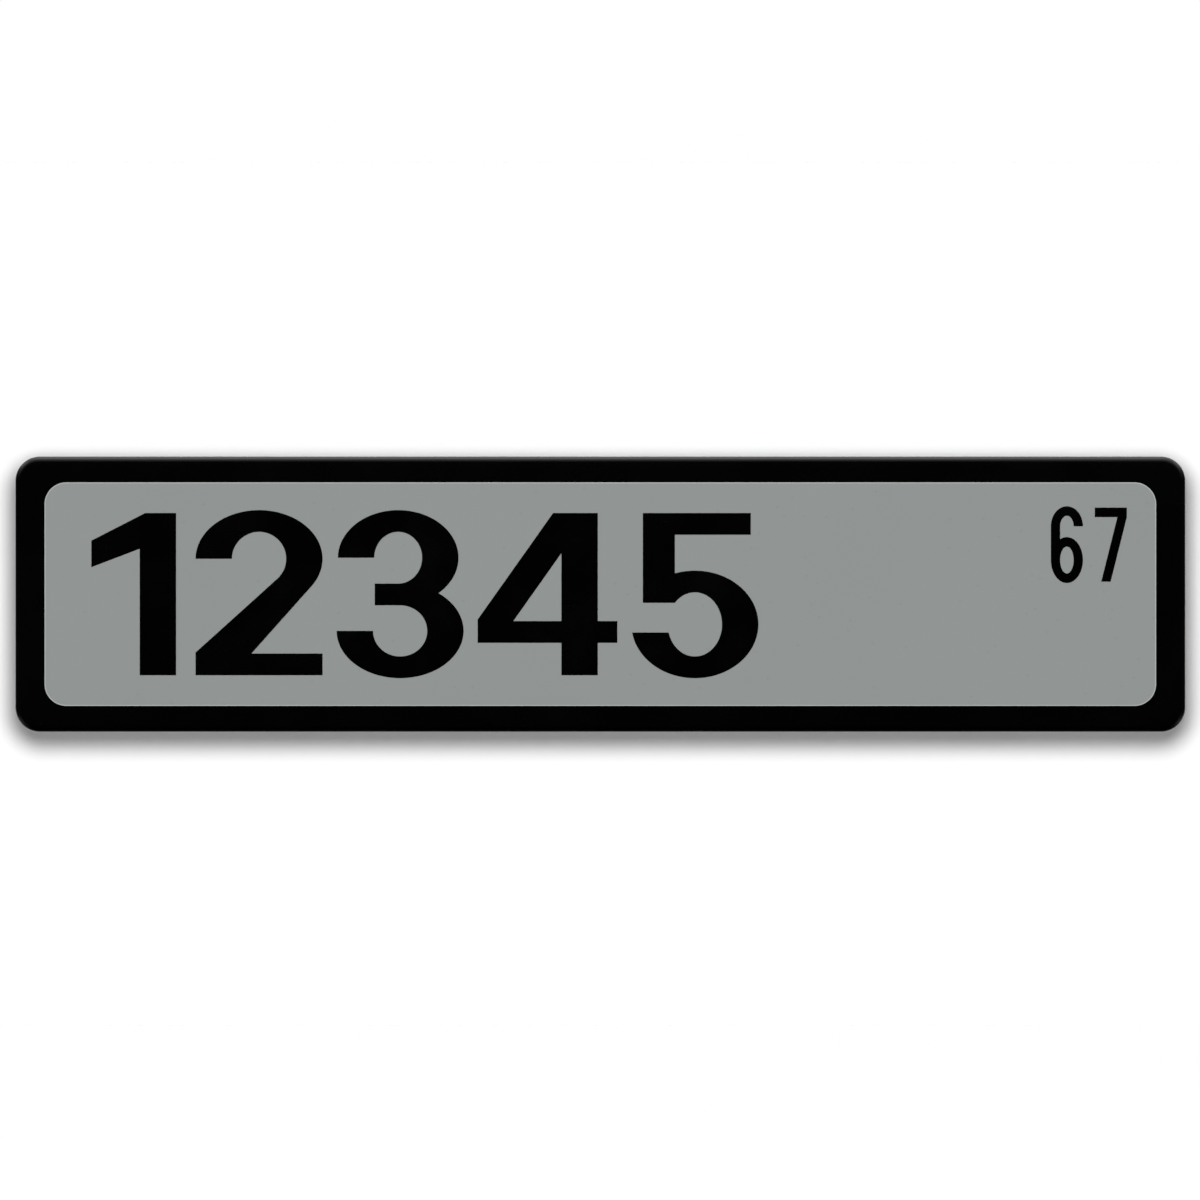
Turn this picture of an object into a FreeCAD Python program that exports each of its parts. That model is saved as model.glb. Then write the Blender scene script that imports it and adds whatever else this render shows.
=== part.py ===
"""Street name sign: a flat aluminium plate with a grey film panel and black film numerals.

The plate stands upright with its face towards -Y. Its origin is the centre of its back face,
X runs along the sign, Z is up, and every length is in millimetres.
"""

import FreeCAD
import Part

import math
import os
from collections import namedtuple

# The plate: a 17 in by 4 in blank of 0.100 in sheet.
plate_length = 431.8
plate_height = 101.6
plate_thickness = 2.54
plate_corner_radius = 9.0
front_edge_radius = 2.2
back_edge_radius = 0.2
least_edge_land = 0.1

# The grey panel: one sheet of film, which leaves a border of the plate's black coat round it.
border_at_ends = 11.0
border_above_and_below = 9.6
panel_corner_radius = 8.0
panel_film_thickness = 0.15

# The large numerals: a row that starts at the panel's left and fills most of its height.
large_numerals = ["one", "two", "three", "four", "five"]
large_margin_left = 17.25
large_margin_above_and_below = 11.3
large_width = 46.8
large_upright_stroke = 13.4
large_level_stroke = 8.0
large_spacing = 5.2

# The small numerals, in the panel's upper right corner.
small_numerals = ["six", "seven"]
small_margin_right = 10.8
small_margin_above = 9.3
small_width = 11.8
small_height = 27.3
small_upright_stroke = 3.4
small_level_stroke = 3.5
small_spacing = 4.4

# Every numeral is cut from one gauge of film.
numeral_film_thickness = 0.1

# How far a round numeral passes the line of the flat ones, as a share of its height.
overshoot_share = 0.018

# How wide the one and the four are, as shares of their row's full width.
narrow_one_share = 0.71
wide_four_share = 1.1
WIDTH_SHARES = {"one": narrow_one_share, "four": wide_four_share}

# The panel's size, and the level that the numerals lie at.
panel_length = plate_length - 2 * border_at_ends
panel_height = plate_height - 2 * border_above_and_below
film_level = plate_thickness + panel_film_thickness

# One row's style: the full width, height and stroke widths of its numerals, and their spacing.
RowStyle = namedtuple("RowStyle", "width height upright level spacing")

large_style = RowStyle(
    width=large_width,
    height=panel_height - 2 * large_margin_above_and_below,
    upright=large_upright_stroke,
    level=large_level_stroke,
    spacing=large_spacing,
)
small_style = RowStyle(
    width=small_width,
    height=small_height,
    upright=small_upright_stroke,
    level=small_level_stroke,
    spacing=small_spacing,
)


def point(across, up):
    """A point of a flat outline, which is drawn in the XY plane before it is stood up."""
    return FreeCAD.Vector(across, up, 0)


def film_of(outline):
    """The numeral film inside a closed outline, as a solid that lies on the XY plane."""
    return Part.Face(outline).extrude(FreeCAD.Vector(0, 0, numeral_film_thickness))


def polygon(*corners):
    """A film with straight sides."""
    points = [point(*corner) for corner in corners]
    return film_of(Part.makePolygon(points + points[:1]))


def block(left, bottom, right, top):
    """A rectangular film."""
    return polygon((left, bottom), (right, bottom), (right, top), (left, top))


def oval_arc(centre, half_width, half_height, start, end):
    """An edge along an upright oval, anticlockwise between two angles in degrees."""
    middle = point(*centre)
    side = point(half_width, 0)
    top = point(0, half_height)
    if half_width >= half_height:
        line, turn = Part.Ellipse(middle + side, middle + top, middle), 0
    else:
        line, turn = Part.Ellipse(middle + top, middle - side, middle), 90
    return Part.ArcOfEllipse(line, math.radians(start - turn), math.radians(end - turn)).toShape()


def oval(centre, half_width, half_height):
    """An oval film."""
    right_half = oval_arc(centre, half_width, half_height, -90, 90)
    left_half = oval_arc(centre, half_width, half_height, 90, 270)
    return film_of(Part.Wire([right_half, left_half]))


def ring(centre, half_width, half_height, upright, level):
    """An oval band: upright is its width at the sides, level its width at top and bottom."""
    hollow = oval(centre, half_width - upright, half_height - level)
    return oval(centre, half_width, half_height).cut(hollow)


def on_oval(centre, half_width, half_height, angle):
    """The point of an oval at an angle in degrees."""
    turn = math.radians(angle)
    return (centre[0] + half_width * math.cos(turn), centre[1] + half_height * math.sin(turn))


def top_of_oval(centre, half_width, half_height, across):
    """How high the upper side of an oval is at a place across."""
    share = (across - centre[0]) / half_width
    return centre[1] + half_height * math.sqrt(1 - share * share)


def touching_angle(outside, centre, half_width, half_height):
    """The angle, in degrees, where a line from a point at the lower left touches an oval's right."""
    across = (outside[0] - centre[0]) / half_width
    up = (outside[1] - centre[1]) / half_height
    towards = math.atan2(up, across)
    half_view = math.acos(1 / math.hypot(across, up))
    return math.degrees(towards + half_view)


def numeral_one(width, height, upright, level):
    """A stem with a sloping flag, and a little room of its own on the right."""
    stem_right = 0.94 * width
    stem_left = stem_right - upright
    shoulder = stem_left + 0.15 * upright
    flag_top = 0.83 * height
    flag_low = 0.80 * height - level
    armpit = 0.78 * height
    return polygon(
        (stem_left, 0),
        (stem_right, 0),
        (stem_right, height),
        (shoulder, height),
        (0, flag_top),
        (0, flag_low),
        (stem_left, armpit),
    )


def numeral_two(width, height, upright, level):
    """A bowl open to the left, a diagonal that leaves it smoothly, and a foot."""
    rise = overshoot_share * height
    outer = (width / 2, 0.30 * height)
    inner = (outer[0] - upright, outer[1] - level)
    centre = (outer[0], height + rise - outer[1])
    foot_joint = (0.44 * width, level)
    heel = (0, 1.05 * level)
    outer_angle = touching_angle(foot_joint, centre, *outer)
    inner_angle = touching_angle(heel, centre, *inner)
    corners = [
        on_oval(centre, *outer, outer_angle),
        foot_joint,
        (width, level),
        (width, 0),
        (0, 0),
        heel,
        on_oval(centre, *inner, inner_angle),
    ]
    tip = [(0, centre[1]), (upright, centre[1])]
    sides = list(zip(corners, corners[1:])) + [tip]
    edges = [Part.makeLine(point(*first), point(*second)) for first, second in sides]
    edges.append(oval_arc(centre, *outer, outer_angle, 180))
    edges.append(oval_arc(centre, *inner, inner_angle, 180))
    return film_of(Part.Wire(Part.__sortEdges__(edges)))


def numeral_three(width, height, upright, level):
    """Two bowls open to the left, which share a short bar at the waist."""
    rise = overshoot_share * height
    waist_top = 0.565 * height
    waist_low = waist_top - level
    bar_left = 0.30 * width
    upper_half_width = 0.475 * width
    upper_half_height = (height + rise - waist_low) / 2
    upper_centre = (upper_half_width + 0.01 * width, waist_low + upper_half_height)
    lower_half_width = width / 2
    lower_half_height = (waist_top + rise) / 2
    lower_centre = (lower_half_width, waist_top - lower_half_height)
    upper = ring(upper_centre, upper_half_width, upper_half_height, upright, level)
    upper = upper.cut(block(-width, -height, *upper_centre))
    lower = ring(lower_centre, lower_half_width, lower_half_height, upright, level)
    lower = lower.cut(block(-width, lower_centre[1], lower_centre[0], height))
    bar = block(bar_left, waist_low, lower_centre[0], waist_top)
    return upper.fuse([lower, bar]).removeSplitter()


def numeral_four(width, height, upright, level):
    """A stem, a crossbar and a diagonal round a three-cornered gap."""
    bar_low = 0.20 * height
    bar_top = bar_low + level
    stem_right = 0.86 * width
    stem_left = stem_right - upright
    diagonal_low = bar_top + 0.01 * height
    diagonal_top = stem_left - 0.06 * width
    slope = (height - diagonal_low) / diagonal_top
    gap_left = 0.98 * upright
    gap_top = bar_top + slope * (stem_left - gap_left)
    outline = polygon(
        (stem_left, 0),
        (stem_right, 0),
        (stem_right, bar_low),
        (width, bar_low),
        (width, bar_top),
        (stem_right, bar_top),
        (stem_right, height),
        (diagonal_top, height),
        (0, diagonal_low),
        (0, bar_low),
        (stem_left, bar_low),
    )
    gap = polygon((gap_left, bar_top), (stem_left, bar_top), (stem_left, gap_top))
    return outline.cut(gap)


def numeral_five(width, height, upright, level):
    """A top bar, a short stem and a bowl open to the left."""
    rise = overshoot_share * height
    bowl_top = 0.645 * height
    half_width = width / 2
    half_height = (bowl_top + rise) / 2
    centre = (half_width, half_height - rise)
    tip_top = 0.84 * centre[1]
    stem_left = 0.09 * width
    stem_right = stem_left + 0.88 * upright
    stem_low = top_of_oval(centre, half_width - upright, half_height - level, stem_right)
    bar_right = 0.94 * width
    bowl = ring(centre, half_width, half_height, upright, level)
    bowl = bowl.cut(block(-width, tip_top, centre[0], stem_low))
    bowl = bowl.cut(block(-width, tip_top, stem_left, height))
    stem = block(stem_left, stem_low, stem_right, height)
    bar = block(stem_left, height - level, bar_right, height)
    return bowl.fuse([stem, bar]).removeSplitter()


def numeral_six(width, height, upright, level):
    """A closed bowl with a stem that rises on the left and turns over at the top."""
    rise = overshoot_share * height
    half_width = width / 2
    bowl_half_height = 0.31 * height
    hook_half_height = 0.27 * height
    bowl_centre = (half_width, bowl_half_height - rise)
    hook_centre = (half_width, height + rise - hook_half_height)
    bowl = ring(bowl_centre, half_width, bowl_half_height, upright, level)
    hook = ring(hook_centre, half_width, hook_half_height, upright, level)
    hook = hook.cut(block(-width, -height, 2 * width, hook_centre[1]))
    stem = block(0, bowl_centre[1], upright, hook_centre[1])
    return bowl.fuse([hook, stem]).removeSplitter()


def numeral_seven(width, height, upright, level):
    """A top bar and a diagonal that comes down from its right end."""
    bar_low = height - level
    slant_width = 1.02 * upright
    foot_left = 0.20 * width
    return polygon(
        (0, height),
        (width, height),
        (width, bar_low),
        (foot_left + slant_width, 0),
        (foot_left, 0),
        (width - slant_width, bar_low),
        (0, bar_low),
    )


NUMERALS = {
    "one": numeral_one,
    "two": numeral_two,
    "three": numeral_three,
    "four": numeral_four,
    "five": numeral_five,
    "six": numeral_six,
    "seven": numeral_seven,
}


def stood_up(flat, level, across=0, up=0):
    """A flat solid turned to face -Y, with its back at a level in front of the plate's back."""
    flat.rotate(FreeCAD.Vector(0, 0, 0), FreeCAD.Vector(1, 0, 0), 90)
    flat.translate(FreeCAD.Vector(across, -level, up))
    return flat


def edges_at(flat, height):
    """The edges of a flat solid that lie wholly at one height."""
    return [
        edge
        for edge in flat.Edges
        if all(abs(vertex.Point.z - height) < 1e-6 for vertex in edge.Vertexes)
    ]


def rounded_sheet(length, height, thickness, corner_radius):
    """A flat sheet, centred on the Z axis, with four round corners."""
    sheet = Part.makeBox(length, height, thickness, point(-length / 2, -height / 2))
    level_edges = edges_at(sheet, 0) + edges_at(sheet, thickness)
    corners = [
        edge for edge in sheet.Edges if not any(edge.isSame(other) for other in level_edges)
    ]
    return sheet.makeFillet(corner_radius, corners)


def sign_plate():
    """The sheet, with a round front edge and a back edge that is only broken."""
    plate = rounded_sheet(plate_length, plate_height, plate_thickness, plate_corner_radius)
    front_round = min(front_edge_radius, plate_thickness - back_edge_radius - least_edge_land)
    plate = plate.makeFillet(front_round, edges_at(plate, plate_thickness))
    plate = plate.makeFillet(back_edge_radius, edges_at(plate, 0))
    return stood_up(plate, 0)


def grey_panel():
    """The film sheet in the middle of the plate's face."""
    film = rounded_sheet(panel_length, panel_height, panel_film_thickness, panel_corner_radius)
    return stood_up(film, plate_thickness)


def width_of(numeral, style):
    """How wide a numeral is in its row."""
    return WIDTH_SHARES.get(numeral, 1) * style.width


def length_of(row, style):
    """How long a row of numerals is, with the spaces between them."""
    return sum(width_of(numeral, style) for numeral in row) + (len(row) - 1) * style.spacing


def row_of_numerals(row, style, left, low):
    """Each numeral of a row with its solid, from the row's lower left corner."""
    for numeral in row:
        width = width_of(numeral, style)
        film = NUMERALS[numeral](width, style.height, style.upright, style.level)
        yield numeral, stood_up(film, film_level, left, low)
        left += width + style.spacing


def build():
    """Every piece of the sign, by name."""
    pieces = {"sign_plate": sign_plate(), "grey_panel": grey_panel()}
    large_left = large_margin_left - panel_length / 2
    large_low = -large_style.height / 2
    for numeral, film in row_of_numerals(large_numerals, large_style, large_left, large_low):
        pieces["large_numeral_" + numeral] = film
    small_right = panel_length / 2 - small_margin_right
    small_left = small_right - length_of(small_numerals, small_style)
    small_low = panel_height / 2 - small_margin_above - small_style.height
    for numeral, film in row_of_numerals(small_numerals, small_style, small_left, small_low):
        pieces["small_numeral_" + numeral] = film
    return pieces


os.makedirs("parts", exist_ok=True)
for name, solid in build().items():
    solid.exportStep(os.path.join("parts", name + ".step"))
    print(name, "volume", round(solid.Volume, 3), "valid", solid.isValid(), "solids", len(solid.Solids))
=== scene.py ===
# A street name sign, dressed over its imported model: a black plate, a grey film panel and black numerals.
import math

import bpy
import numpy as np
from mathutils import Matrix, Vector


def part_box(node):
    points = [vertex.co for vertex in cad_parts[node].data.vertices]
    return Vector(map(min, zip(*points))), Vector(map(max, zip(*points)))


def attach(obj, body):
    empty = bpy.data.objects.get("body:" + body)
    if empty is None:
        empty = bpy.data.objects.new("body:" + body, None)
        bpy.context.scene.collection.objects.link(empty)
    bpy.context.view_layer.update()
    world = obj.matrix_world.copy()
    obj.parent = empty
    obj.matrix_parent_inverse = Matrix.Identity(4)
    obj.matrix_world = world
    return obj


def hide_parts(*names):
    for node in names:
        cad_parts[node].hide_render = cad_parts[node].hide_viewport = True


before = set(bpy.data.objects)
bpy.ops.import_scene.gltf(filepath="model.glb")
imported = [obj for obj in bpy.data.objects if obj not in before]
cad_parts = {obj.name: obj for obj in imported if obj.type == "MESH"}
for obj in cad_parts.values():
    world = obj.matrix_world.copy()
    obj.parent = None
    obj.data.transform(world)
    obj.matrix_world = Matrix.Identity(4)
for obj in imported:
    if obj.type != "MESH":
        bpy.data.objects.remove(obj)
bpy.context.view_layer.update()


# The plate is a blank of 0.100 inch aluminium sheet with round corners, sprayed black on its face and
# edges. Its front edge is rounded over. Its back is bare, as the rolling mill left it, with a ragged
# rim of black where the spray crept round the edge.
MM = 0.001
plate_low, plate_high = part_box("sign_plate")
plate_corner_radius = 9.0 * MM
front_edge_radius = 2.2 * MM
back_edge_radius = 0.2 * MM
flat_band = 3 * MM
steps_in_a_corner = 33
steps_in_front_edge = 17
steps_in_back_edge = 5
steps_across_flat_band = 6

# The black coat, and how it ends on the back: in a wavy rim, and then in a mist of drops.
black_coat_colour = (0.0002, 0.0002, 0.0002, 1)
clean_coat_roughness = 0.25
smudged_coat_roughness = 0.32
coat_bump_depth = 0.02 * MM
narrowest_rim = 0.5 * MM
widest_rim = 1.1 * MM
rim_waves_per_metre = 90.0
rim_noise_low = 0.3
rim_noise_high = 0.7
mist_starts_before_rim = 0.3 * MM
mist_reach = 3 * MM
mist_falloff = 0.45
mist_waves_per_metre = 3600.0
highest_mist = 0.85
drop_edge_softness = 0.05

# The bare metal. A rolled line's size is its length and its width, here from broad to fine.
bare_metal_colour = (0.84, 0.85, 0.86)
smoothest_metal_roughness = 0.22
roughest_metal_roughness = 0.36
rolled_line_sizes = [(0.6, 7 * MM), (0.25, 1.5 * MM), (0.06, 0.35 * MM)]
middle_line_share = 0.5
fine_line_share = 0.4
rolled_low = 0.35
rolled_high = 0.65
darkest_line_tone = 0.8
metal_smudge_shade = 0.03
metal_hairline_shine = 0.06
metal_hairline_depth = 0.4

# The marks and waves that all the finishes share, as rates and levels of the noise that makes them.
noise_middle = 0.5
finer_wave_ratio = 3.1
smudge_starts = 0.42
smudge_is_full = 0.68
hairline_waves_per_metre = (14, 14, 1500)
hairline_half_width = 0.02
breaks_per_metre = 55.0
hairline_starts = 0.56
hairline_is_full = 0.66


def rounded_rectangle(low, high, corner_radius):
    """Gives an outline's points in X and Z, anticlockwise from the front, and which way each faces.
    Each corner is a quarter circle, its centre + radius x (cos angle, sin angle), with straight sides
    between."""
    quarter = np.linspace(0, np.pi / 2, steps_in_a_corner)
    angle = (quarter + np.arange(4)[:, None] * np.pi / 2).ravel()
    outwards = np.column_stack((np.cos(angle), np.sin(angle)))
    middle = np.array((low.x + high.x, low.z + high.z)) / 2
    half_straight = np.array((high.x - low.x, high.z - low.z)) / 2 - corner_radius
    quadrant = np.repeat([[1, 1], [-1, 1], [-1, -1], [1, -1]], steps_in_a_corner, axis=0)
    return middle + quadrant * half_straight + corner_radius * outwards, outwards


def quarter_round(radius, steps):
    """Gives a quarter circle as two rising runs: radius x (1 - cos angle) and radius x sin angle."""
    angle = np.linspace(0, np.pi / 2, steps)
    return radius * (1 - np.cos(angle)), radius * np.sin(angle)


def carry_round(outline, outwards, inset, depth):
    """Carries an edge profile round an outline: point (i, j) is outline point j, moved inwards by inset
    i and put at depth i in Y. The flat middle of the face and of the back closes the two ends."""
    rings, around = len(inset), len(outline)
    flat = outline[None] - inset[:, None, None] * outwards[None]
    points = np.empty((rings, around, 3))
    points[..., 0] = flat[..., 0]
    points[..., 1] = depth[:, None]
    points[..., 2] = flat[..., 1]
    here = np.arange(rings * around).reshape(rings, around)
    after = np.roll(here, -1, axis=1)
    sides = np.stack((here[:-1], here[1:], after[1:], after[:-1]), axis=-1).reshape(-1, 4)
    return points.reshape(-1, 3), [*sides.tolist(), here[0].tolist(), here[-1, ::-1].tolist()]


def new_piece(name, points, faces, material, node):
    """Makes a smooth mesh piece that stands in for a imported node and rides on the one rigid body."""
    mesh = bpy.data.meshes.new(name)
    mesh.from_pydata(points.tolist(), [], faces)
    mesh.shade_smooth()
    mesh.materials.append(material)
    piece = bpy.data.objects.new(name, mesh)
    bpy.context.scene.collection.objects.link(piece)
    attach(piece, "root")
    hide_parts(node)
    return piece


def write_round_values(piece, name, values):
    """Writes one value for each step of an edge profile onto all the points that it was carried to."""
    attribute = piece.data.attributes.new(name, "FLOAT", "POINT")
    attribute.data.foreach_set("value", np.repeat(values, len(piece.data.vertices) // len(values)))


def add_node(tree, kind, inputs=None, **settings):
    """Adds a shader node with these settings. An input takes a number, a colour or a node's output."""
    made = tree.nodes.new("ShaderNode" + kind)
    for name, value in settings.items():
        setattr(made, name, value)
    for name, value in (inputs or {}).items():
        if isinstance(value, bpy.types.NodeSocket):
            tree.links.new(value, made.inputs[name])
        else:
            made.inputs[name].default_value = value
    return made


def maths(tree, operation, *values):
    """Does one sum with values that vary."""
    return add_node(tree, "Math", dict(enumerate(values)), operation=operation).outputs[0]


def noise(tree, place, rate, detail, roughness=0.5):
    """Gives soft noise about 0.5, with this many waves to each unit of the place."""
    return add_node(tree, "TexNoise", {"Vector": place, "Scale": rate, "Detail": detail,
                                       "Roughness": roughness}).outputs["Fac"]


def stretched(tree, place, rates):
    """Gives a place with each coordinate times its own rate."""
    return add_node(tree, "VectorMath", {0: place, 1: rates}, operation="MULTIPLY").outputs[0]


def ramp(tree, value, start, end, low=0.0, high=1.0):
    """Gives low up to the start, high from the end on, and a straight run in between."""
    return add_node(tree, "MapRange", {"Value": value, "From Min": start, "From Max": end,
                                       "To Min": low, "To Max": high}).outputs[0]


def blend(tree, share, first, second, kind="FLOAT"):
    """Gives the first value or colour where the share is 0, and the second where it is 1."""
    mix = add_node(tree, "Mix", {"Factor": share, "A": first, "B": second}, data_type=kind)
    return mix.outputs["Result"]


def toned(tree, colour, tone):
    """Gives a colour times a tone that varies."""
    return add_node(tree, "VectorMath", {0: colour, "Scale": tone}, operation="SCALE").outputs[0]


def new_group(name, numbers, outputs):
    """Starts a node group that takes a Place and these numbers, and gives these numbers out."""
    tree = bpy.data.node_groups.new(name, "ShaderNodeTree")
    tree.interface.new_socket("Place", in_out="INPUT", socket_type="NodeSocketVector")
    for label, usual in numbers.items():
        socket = tree.interface.new_socket(label, in_out="INPUT", socket_type="NodeSocketFloat")
        socket.default_value = usual
    for label in outputs:
        tree.interface.new_socket(label, in_out="OUTPUT", socket_type="NodeSocketFloat")
    return tree, tree.nodes.new("NodeGroupInput").outputs, tree.nodes.new("NodeGroupOutput").inputs


def place_group(tree, group, inputs):
    """Places a node group in a material with its own values."""
    return add_node(tree, "Group", inputs, node_tree=group).outputs


def new_material(name):
    """Starts a material. Gives it, its nodes, its main shader and the piece's own coordinates."""
    material = bpy.data.materials.new(name)
    material.use_nodes = True
    tree = material.node_tree
    place = add_node(tree, "TexCoord").outputs["Object"]
    return material, tree, tree.nodes["Principled BSDF"], place


def set_finish(tree, shader, colour, roughness, height, bump_depth):
    """Links a colour and a roughness to the main shader, and a height as a bump this deep."""
    bump = add_node(tree, "Bump", {"Height": height, "Strength": 1.0, "Distance": bump_depth})
    tree.links.new(colour, shader.inputs["Base Color"])
    tree.links.new(roughness, shader.inputs["Roughness"])
    tree.links.new(bump.outputs["Normal"], shader.inputs["Normal"])


def soft_waves_group():
    """Soft rounded waves of an even size: noise with one wave for each Size, and finer noise over it."""
    tree, given, wanted = new_group("soft_waves", {"Size": 1 * MM, "Fine Share": 0.3}, ["Height"])
    rate = maths(tree, "DIVIDE", 1.0, given["Size"])
    finer_rate = maths(tree, "MULTIPLY", rate, finer_wave_ratio)
    broad = noise(tree, given["Place"], rate, detail=1.0)
    fine = noise(tree, given["Place"], finer_rate, detail=2.0)
    tree.links.new(blend(tree, given["Fine Share"], broad, fine), wanted["Height"])
    return tree


def handling_marks_group():
    """Smudges and hairlines from handling. A smudge is broad noise above a level. A hairline is where
    noise, drawn out along a slant, crosses its middle value, and a broader noise breaks it up."""
    tree, given, wanted = new_group("handling_marks", {"Smudge Size": 30 * MM, "Slant": 0.4},
                                    ["Smudge", "Hairline"])
    smudge_rate = maths(tree, "DIVIDE", 1.0, given["Smudge Size"])
    broad = noise(tree, given["Place"], smudge_rate, detail=5.0, roughness=0.55)
    tree.links.new(ramp(tree, broad, smudge_starts, smudge_is_full), wanted["Smudge"])

    turned = add_node(tree, "VectorRotate", {"Vector": given["Place"], "Angle": given["Slant"]},
                      rotation_type="Y_AXIS").outputs[0]
    streaks = noise(tree, stretched(tree, turned, hairline_waves_per_metre), 1.0, detail=0.0)
    off_middle = maths(tree, "ABSOLUTE", maths(tree, "SUBTRACT", streaks, noise_middle))
    line = ramp(tree, off_middle, 0.0, hairline_half_width, low=1.0, high=0.0)
    breaks = noise(tree, given["Place"], breaks_per_metre, detail=3.0)
    unbroken = ramp(tree, breaks, hairline_starts, hairline_is_full)
    tree.links.new(maths(tree, "MULTIPLY", line, unbroken), wanted["Hairline"])
    return tree


soft_waves = soft_waves_group()
handling_marks = handling_marks_group()


def bare_share(tree, place):
    """Gives 0 where the spray covers the metal and 1 where it is bare, from the mesh's own attribute,
    the distance in from the back's edge. The spray reaches in by a wavy rim, then thins out as a mist:
    metal is bare where (how far the mist has thinned) ^ its falloff is over the drops' own noise."""
    inwards = add_node(tree, "Attribute", attribute_name="in_from_back_edge").outputs["Fac"]
    creep = noise(tree, place, rim_waves_per_metre, detail=3.0)
    rim = ramp(tree, creep, rim_noise_low, rim_noise_high, narrowest_rim, widest_rim)
    past_rim = maths(tree, "SUBTRACT", inwards, rim)
    thinned = ramp(tree, past_rim, -mist_starts_before_rim, mist_reach)
    level = maths(tree, "POWER", thinned, mist_falloff)
    mist = noise(tree, place, mist_waves_per_metre, detail=2.0)
    drops = ramp(tree, mist, 0.0, 1.0, 0.0, 1 / highest_mist)
    return ramp(tree, maths(tree, "SUBTRACT", level, drops), -drop_edge_softness, drop_edge_softness)


def rolling_lines(tree, place):
    """Long parallel lines in the rolling direction, X: noise drawn out to a length and narrowed to a
    width, for three sizes, mixed into one value about 0.5."""
    rates = [(1 / length, 0, 1 / width) for length, width in rolled_line_sizes]
    broad, middle, fine = (noise(tree, stretched(tree, place, rate), 1.0, detail=2.0) for rate in rates)
    return blend(tree, fine_line_share, blend(tree, middle_line_share, broad, middle), fine)


def black_coat():
    """Satin black spray with a slight orange peel, and bare rolled aluminium where the spray stops."""
    material, tree, shader, place = new_material("black_coat")
    marks = place_group(tree, handling_marks, {"Place": place, "Smudge Size": 45 * MM, "Slant": 0.5})
    peel = place_group(tree, soft_waves, {"Place": place, "Size": 1.6 * MM, "Fine Share": 0.25})
    bare = bare_share(tree, place)
    rolled = rolling_lines(tree, place)

    lines = ramp(tree, rolled, rolled_low, rolled_high, darkest_line_tone, 1.0)
    smudged = maths(tree, "MULTIPLY_ADD", marks["Smudge"], -metal_smudge_shade, lines)
    tone = maths(tree, "MULTIPLY_ADD", marks["Hairline"], metal_hairline_shine, smudged)
    colour = blend(tree, bare, black_coat_colour, toned(tree, bare_metal_colour, tone), kind="RGBA")
    tree.links.new(bare, shader.inputs["Metallic"])

    coat_roughness = ramp(tree, marks["Smudge"], 0.0, 1.0, clean_coat_roughness, smudged_coat_roughness)
    metal_roughness = ramp(tree, rolled, rolled_low, rolled_high,
                           smoothest_metal_roughness, roughest_metal_roughness)
    roughness = blend(tree, bare, coat_roughness, metal_roughness)

    scratched = maths(tree, "MULTIPLY_ADD", marks["Hairline"], -metal_hairline_depth, rolled)
    height = blend(tree, bare, peel["Height"], scratched)
    set_finish(tree, shader, colour, roughness, height, coat_bump_depth)
    return material


def make_plate():
    """The edge profile runs from the face over the front round, down the side, over the broken back edge
    and in across the back, and is carried round the blank's outline."""
    front_inset, front_depth = quarter_round(front_edge_radius, steps_in_front_edge)
    back_inset, back_depth = quarter_round(back_edge_radius, steps_in_back_edge)
    in_across_back = np.linspace(0, flat_band, steps_across_flat_band + 1)[1:]
    inset = np.concatenate(([front_edge_radius + flat_band], front_edge_radius - front_depth,
                            back_inset, back_edge_radius + in_across_back))
    depth = np.concatenate(([plate_low.y], plate_low.y + front_inset,
                            plate_high.y - back_edge_radius + back_depth,
                            np.full(steps_across_flat_band, plate_high.y)))
    outline, outwards = rounded_rectangle(plate_low, plate_high, plate_corner_radius)
    points, faces = carry_round(outline, outwards, inset, depth)
    piece = new_piece("black_sign_plate", points, faces, black_coat(), "sign_plate")
    before_back = np.zeros(len(inset) - steps_across_flat_band)
    write_round_values(piece, "in_from_back_edge", np.concatenate((before_back, in_across_back)))


make_plate()


# The grey panel is one sheet of matt vinyl film with round corners, cut with a knife and rolled down
# on the middle of the plate's face. Its colour is even, apart from a few pinhead specks of dust
# under it.
panel_low, panel_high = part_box("grey_panel")
panel_corner_radius = 8.0 * MM
cut_edge_radius = 0.05 * MM
steps_in_cut_edge = 5
grey_film_colour = (0.283, 0.301, 0.296)
clean_grey_roughness = 0.52
smudged_grey_roughness = 0.45
grey_smudge_shade = 0.008
grey_film_bump_depth = 0.006 * MM

# The line along the cut edge is partly the film's pale core and partly a painted highlight.
# The paler line along the cut edge: how much paler it is, and how far in it begins and ends to fade.
cut_edge_paleness_and_highlight = 1.7
paleness_fades_from = 0.2 * MM
paleness_fades_to = 0.4 * MM

# The specks sit in the middles of random cells. A core and an edge are shares of a cell's width.
speck_cells_per_metre = 160.0
speck_core = 0.03
speck_edge = 0.13
empty_share_at_left = 0.95
empty_share_at_right = 0.75
speck_shade = 0.06
speck_height = 0.8


def dust_specks(tree, place):
    """Gives 1 on a speck and 0 off it. A speck is the middle of a random flat cell, kept in a few cells
    only, and in more of them towards the right."""
    along = add_node(tree, "SeparateXYZ", {0: place}).outputs
    flat = add_node(tree, "CombineXYZ", {"X": along["X"], "Y": along["Z"]}).outputs[0]
    cells = add_node(tree, "TexVoronoi", {"Vector": flat, "Scale": speck_cells_per_metre},
                     voronoi_dimensions="2D").outputs
    spot = ramp(tree, cells["Distance"], speck_core, speck_edge, low=1.0, high=0.0)
    empty_share = ramp(tree, along["X"], panel_low.x, panel_high.x,
                       empty_share_at_left, empty_share_at_right)
    draw = add_node(tree, "SeparateColor", {0: cells["Color"]}).outputs["Blue"]
    kept = maths(tree, "GREATER_THAN", draw, empty_share)
    return maths(tree, "MULTIPLY", spot, kept)


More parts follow.
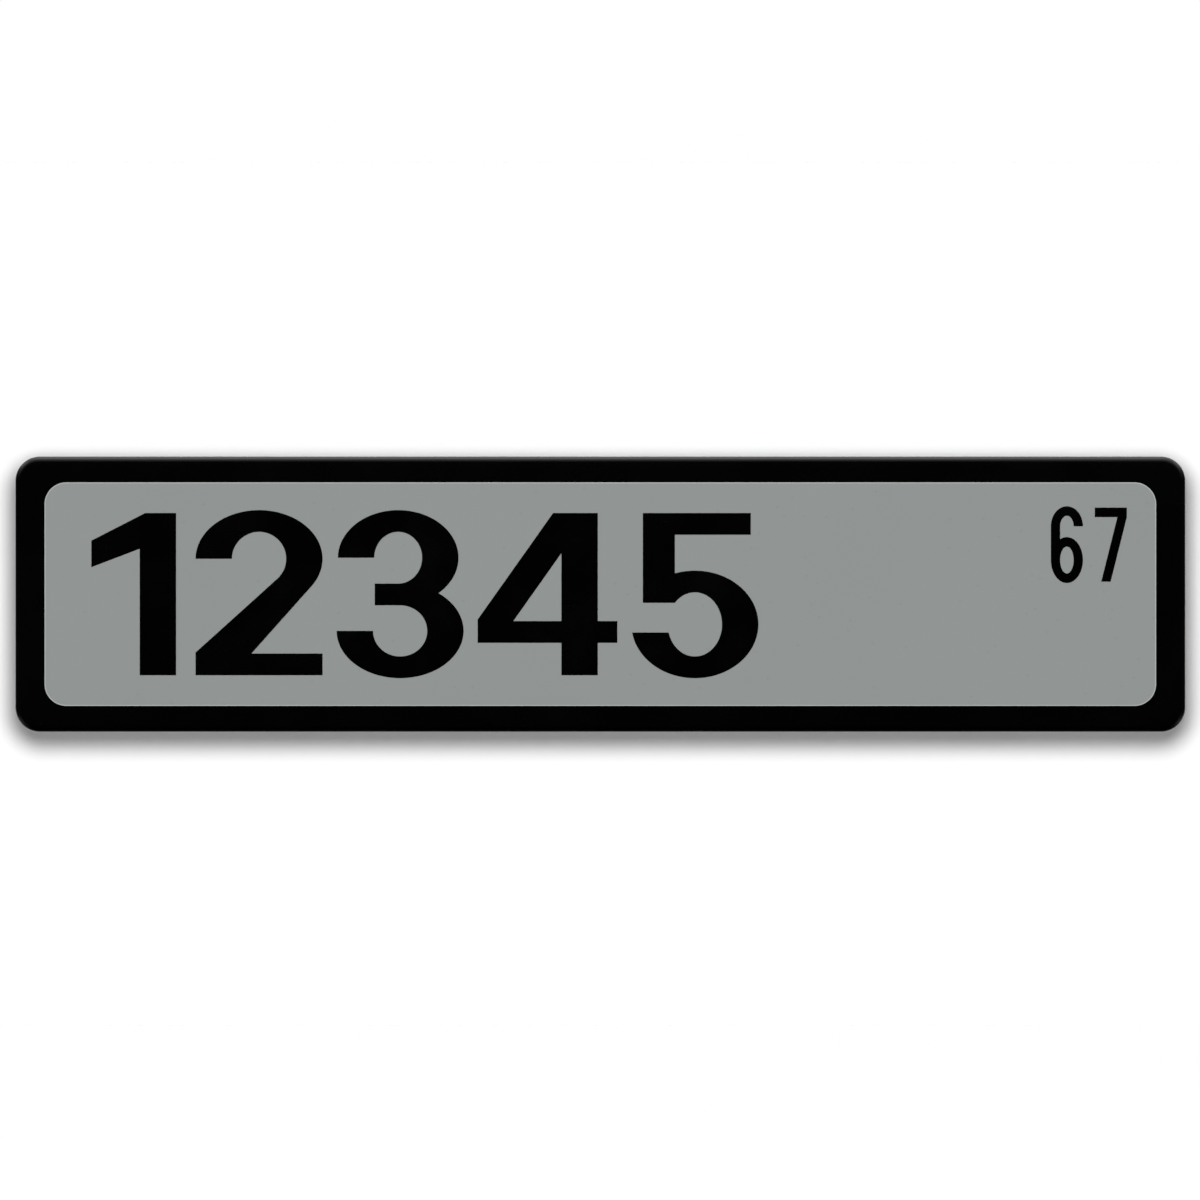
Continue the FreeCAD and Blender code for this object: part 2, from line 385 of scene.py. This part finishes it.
def grey_film():
    """Mid grey with a trace of green, paler in a hair's breadth along the cut edge, from the mesh's own
    attribute, the distance in from that edge. The pale line is partly the film's pale core at the cut and
    partly a painted highlight."""
    material, tree, shader, place = new_material("grey_film")
    marks = place_group(tree, handling_marks, {"Place": place, "Smudge Size": 60 * MM, "Slant": -0.3})
    grain = place_group(tree, soft_waves, {"Place": place, "Size": 0.5 * MM, "Fine Share": 0.5})
    speck = dust_specks(tree, place)

    inwards = add_node(tree, "Attribute", attribute_name="in_from_cut_edge").outputs["Fac"]
    # Painted highlight, with the film's pale core: the colour is brightened near the cut edge.
    paler_and_highlit = ramp(tree, inwards, paleness_fades_from, paleness_fades_to, cut_edge_paleness_and_highlight, 1.0)
    cloudy = maths(tree, "MULTIPLY_ADD", marks["Smudge"], -grey_smudge_shade, paler_and_highlit)
    tone = maths(tree, "MULTIPLY_ADD", speck, -speck_shade, cloudy)
    colour = toned(tree, grey_film_colour, tone)
    roughness = ramp(tree, marks["Smudge"], 0.0, 1.0, clean_grey_roughness, smudged_grey_roughness)
    height = maths(tree, "MULTIPLY_ADD", speck, speck_height, grain["Height"])
    set_finish(tree, shader, colour, roughness, height, grey_film_bump_depth)
    return material


def make_panel():
    """The film's profile runs in across its face, over the soft cut edge and down to the plate."""
    edge_inset, edge_depth = quarter_round(cut_edge_radius, steps_in_cut_edge)
    inset = np.concatenate(([cut_edge_radius + flat_band], cut_edge_radius - edge_depth, [0]))
    depth = np.concatenate(([panel_low.y], panel_low.y + edge_inset, [panel_high.y]))
    outline, outwards = rounded_rectangle(panel_low, panel_high, panel_corner_radius)
    points, faces = carry_round(outline, outwards, inset, depth)
    piece = new_piece("grey_film_panel", points, faces, grey_film(), "grey_panel")
    write_round_values(piece, "in_from_cut_edge", inset)


make_panel()


# The numerals are cut one by one from black vinyl film with a knife plotter, weeded, and laid on the
# panel from transfer tape: five large ones in a row and two small ones in the upper right corner.
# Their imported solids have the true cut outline, and take the film's finish.
black_film_colour = (0.0002, 0.0002, 0.0002)
clean_black_roughness = 0.22
smudged_black_roughness = 0.31
smudged_black_tone = 1.5
black_film_bump_depth = 0.005 * MM


def black_film():
    """Satin black film, with finer waves than the coat's, and with smudges that dull it a little."""
    material, tree, shader, place = new_material("black_film")
    marks = place_group(tree, handling_marks, {"Place": place, "Smudge Size": 25 * MM, "Slant": 0.9})
    grain = place_group(tree, soft_waves, {"Place": place, "Size": 0.9 * MM, "Fine Share": 0.4})
    tone = ramp(tree, marks["Smudge"], 0.0, 1.0, 1.0, smudged_black_tone)
    colour = toned(tree, black_film_colour, tone)
    roughness = ramp(tree, marks["Smudge"], 0.0, 1.0, clean_black_roughness, smudged_black_roughness)
    set_finish(tree, shader, colour, roughness, grain["Height"], black_film_bump_depth)
    return material


numeral_film = black_film()
for name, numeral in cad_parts.items():
    if "numeral" in name:
        numeral.material_slots[0].material = numeral_film


# The stage is a white wall a pencil's breadth behind the sign, which takes its soft shadow, and a pale
# floor well below. Where nothing shades them, the camera sees both as plain white, the wall by light
# alone and the floor by a glow as well. From its back each is clear, so it never hides the sign.
wall_gap = 7.4 * MM
wall_half_width = 0.30
wall_half_height = 0.16
wall_colour = (1, 1, 1, 1)
wall_glow = 0.0
floor_drop = 0.45
floor_half_size = 2.5
floor_colour = (0.85, 0.85, 0.85, 1)
floor_glow = 0.8
paint_ior = 1.45
card_gap = 0.3 * MM
card_margin_beside = 4.05 * MM
card_margin_above = 0.5 * MM
card_margin_below = 5.95 * MM


def plain_white(name, colour, glow):
    """White paint that is clear from behind, with a glow that only the camera sees. At a glancing angle a
    painted reflection of the white room, a plain glow mixed in by the Fresnel sheen, shows on it."""
    material = bpy.data.materials.new(name)
    material.use_nodes = True
    tree = material.node_tree
    tree.nodes.clear()
    matt = add_node(tree, "BsdfDiffuse", {"Color": colour}).outputs[0]
    to_camera = add_node(tree, "LightPath").outputs["Is Camera Ray"]
    strength = maths(tree, "MULTIPLY", to_camera, glow)
    glowing = add_node(tree, "Emission", {"Strength": strength}).outputs[0]
    lit = add_node(tree, "AddShader", {0: matt, 1: glowing}).outputs[0]
    # A painted reflection: a plain white glow, mixed in by the paint's Fresnel sheen at a glancing angle.
    painted_room_reflection = add_node(tree, "Emission", {"Strength": to_camera}).outputs[0]
    sheen = add_node(tree, "Fresnel", {"IOR": paint_ior}).outputs[0]
    front = add_node(tree, "MixShader", {0: sheen, 1: lit, 2: painted_room_reflection}).outputs[0]
    clear = add_node(tree, "BsdfTransparent").outputs[0]
    behind = add_node(tree, "NewGeometry").outputs["Backfacing"]
    shown = add_node(tree, "MixShader", {0: behind, 1: front, 2: clear}).outputs[0]
    tree.links.new(shown, add_node(tree, "OutputMaterial").inputs["Surface"])
    return material


def stage_sheet(name, corners, material):
    """A flat sheet that belongs to the stage. It lights and shades nothing, and nothing mirrors it."""
    mesh = bpy.data.meshes.new(name)
    mesh.from_pydata(corners, [], [range(len(corners))])
    if material:
        mesh.materials.append(material)
    sheet = bpy.data.objects.new(name, mesh)
    bpy.context.scene.collection.objects.link(sheet)
    sheet.visible_glossy = False
    sheet.visible_diffuse = False
    sheet.visible_shadow = False
    return sheet


def four_corners(half_width, half_height):
    """The corners of a rectangle about the middle, anticlockwise."""
    return [(-half_width, -half_height), (half_width, -half_height), (half_width, half_height),
            (-half_width, half_height)]


wall_y = plate_high.y + wall_gap
wall_corners = [(x, wall_y, z) for x, z in four_corners(wall_half_width, wall_half_height)]
stage_sheet("wall", wall_corners, plain_white("wall_white", wall_colour, wall_glow))

floor_z = plate_low.z - floor_drop
floor_corners = [(x, y, floor_z) for x, y in four_corners(floor_half_size, floor_half_size)]
stage_sheet("floor", floor_corners, plain_white("floor_white", floor_colour, floor_glow))

# A card just behind the sign spreads the sign's shadow. It is larger on every side and most of all
# below, and only the lamp sees it.
card_y = plate_high.y + card_gap
card_low = plate_low - Vector((card_margin_beside, 0, card_margin_below))
card_high = plate_high + Vector((card_margin_beside, 0, card_margin_above))
card_outline, _ = rounded_rectangle(card_low, card_high, plate_corner_radius + card_margin_beside)
card = stage_sheet("shadow_card", [(x, card_y, z) for x, z in card_outline.tolist()], None)
card.visible_camera = False
card.visible_shadow = True


# The light is one very large soft lamp just above the camera, with plain light from all round. Shiny
# surfaces mirror a studio that is dark round the camera and bright overhead, so that the black stays
# black and the top edge catches a line of light. Low soft boxes stand at the sides and behind.
lamp_elevation = math.radians(8)
lamp_spread = math.radians(73)
lamp_strength = 2.50
light_all_round = 0.24
background_white = 1.0

# A glow table says how bright the studio is by height, from -1, straight down, to 1, straight up. A
# share table says how much of that the side's table gives, by how far sideways from the middle it is.
front_glow = [(-1.0, 0.0), (0.08, 0.0), (0.2, 0.02), (0.47, 0.2), (0.65, 0.42), (0.755, 0.55),
              (0.945, 1.5), (1.0, 2.4)]
front_side_glow = [(-1.0, 0.01), (-0.75, 0.1), (-0.5, 0.4), (-0.39, 0.34), (-0.25, 0.02), (0.0, 0.01),
                   (0.16, 0.05), (0.47, 0.55), (0.62, 1.3), (0.755, 2.3), (0.945, 1.5), (1.0, 2.4)]
front_side_share = [(0.0, 0.0), (0.52, 0.0), (0.74, 1.0), (0.8, 1.0), (0.92, 0.0), (1.0, 0.0)]
rear_glow = [(-1.0, 0.05), (-0.6, 0.22), (-0.3, 0.38), (-0.14, 0.4), (-0.02, 0.16), (0.12, 0.2),
             (0.3, 0.3), (0.73, 0.95), (1.0, 2.4)]
rear_side_glow = [(-1.0, 0.05), (-0.6, 0.25), (-0.37, 0.95), (-0.22, 0.9), (-0.12, 0.08), (0.05, 0.05),
                  (0.3, 0.2), (0.55, 0.6), (0.73, 1.8), (1.0, 2.4)]
rear_side_share = [(0.0, 0.0), (0.52, 0.0), (0.78, 1.0), (0.82, 1.0), (0.92, 0.0), (1.0, 0.0)]
rear_starts = 0.35
rear_is_full = 0.6


def straight_runs(tree, value, table):
    """Gives what a table says for a value, with straight runs between its points."""
    curve = add_node(tree, "FloatCurve", {"Value": value})
    shape = curve.mapping
    shape.use_clip = False
    line = shape.curves[0]
    line.points[0].location = table[0]
    line.points[1].location = table[-1]
    for spot in table[1:-1]:
        line.points.new(*spot)
    for point in line.points:
        point.handle_type = "VECTOR"
    shape.update()
    return curve.outputs[0]


def middle_and_sides(tree, toward, middle_glow, side_glow, side_share):
    """Gives the middle's glow by height, and the side's glow where its share says so."""
    sideways = maths(tree, "ABSOLUTE", toward["X"])
    return blend(tree, straight_runs(tree, sideways, side_share),
                 straight_runs(tree, toward["Z"], middle_glow),
                 straight_runs(tree, toward["Z"], side_glow))


def studio_world():
    """Plain white to the camera, an even grey to matt surfaces, and the whole studio to shiny ones."""
    world = bpy.data.worlds.new("studio")
    world.use_nodes = True
    world.cycles.sampling_method = "NONE"
    tree = world.node_tree
    toward = add_node(tree, "SeparateXYZ", {0: add_node(tree, "TexCoord").outputs["Generated"]}).outputs
    ahead = middle_and_sides(tree, toward, front_glow, front_side_glow, front_side_share)
    behind = middle_and_sides(tree, toward, rear_glow, rear_side_glow, rear_side_share)
    rear_share = add_node(tree, "MapRange", {"Value": toward["Y"], "From Min": rear_starts,
                                             "From Max": rear_is_full}, interpolation_type="SMOOTHSTEP")
    mirrored = blend(tree, rear_share.outputs[0], ahead, behind)
    path = add_node(tree, "LightPath").outputs
    matt_or_shiny = blend(tree, path["Is Glossy Ray"], light_all_round, mirrored)
    seen = blend(tree, path["Is Camera Ray"], matt_or_shiny, background_white)
    tree.links.new(seen, tree.nodes["Background"].inputs["Strength"])
    tree.nodes["Background"].inputs["Color"].default_value = (1, 1, 1, 1)
    bpy.context.scene.world = world


def soft_lamp():
    """A sun as wide as a large soft box, which only matt surfaces are lit by."""
    light = bpy.data.lights.new("soft_lamp", "SUN")
    light.energy = lamp_strength
    light.angle = lamp_spread
    light.cycles.use_multiple_importance_sampling = False
    lamp = bpy.data.objects.new("soft_lamp", light)
    lamp.rotation_euler = (math.pi / 2 - lamp_elevation, 0, 0)
    lamp.visible_glossy = False
    bpy.context.scene.collection.objects.link(lamp)


studio_world()
soft_lamp()


# The camera stands straight in front, as in the photograph, with a long lens. The sign's width fills
# 1169.5 of the picture's 1200 pixels, and its middle is a few pixels above the picture's. The sign is
# widest in the short straight side between its front round and its back edge.
picture_side = 1200
sign_width_in_pixels = 1169.5
sign_middle_right_in_pixels = 0.35
sign_middle_up_in_pixels = 5.85
lens_length = 135.0
sensor_side = 36.0
farthest_seen = 20
widest_section_y = (plate_low.y + front_edge_radius + plate_high.y - back_edge_radius) / 2


def make_camera():
    """Its distance is lens / sensor x the width that the picture takes in at the widest section."""
    metres_per_pixel = (plate_high.x - plate_low.x) / sign_width_in_pixels
    distance = lens_length / sensor_side * picture_side * metres_per_pixel
    camera = bpy.data.objects.new("camera", bpy.data.cameras.new("camera"))
    camera.data.lens = lens_length
    camera.data.sensor_width = sensor_side
    camera.data.clip_end = farthest_seen
    camera.location = (-sign_middle_right_in_pixels * metres_per_pixel, widest_section_y - distance,
                       -sign_middle_up_in_pixels * metres_per_pixel)
    camera.rotation_euler = (math.pi / 2, 0, 0)
    bpy.context.scene.collection.objects.link(camera)
    bpy.context.scene.camera = camera


make_camera()
bpy.context.scene.view_settings.view_transform = "Standard"
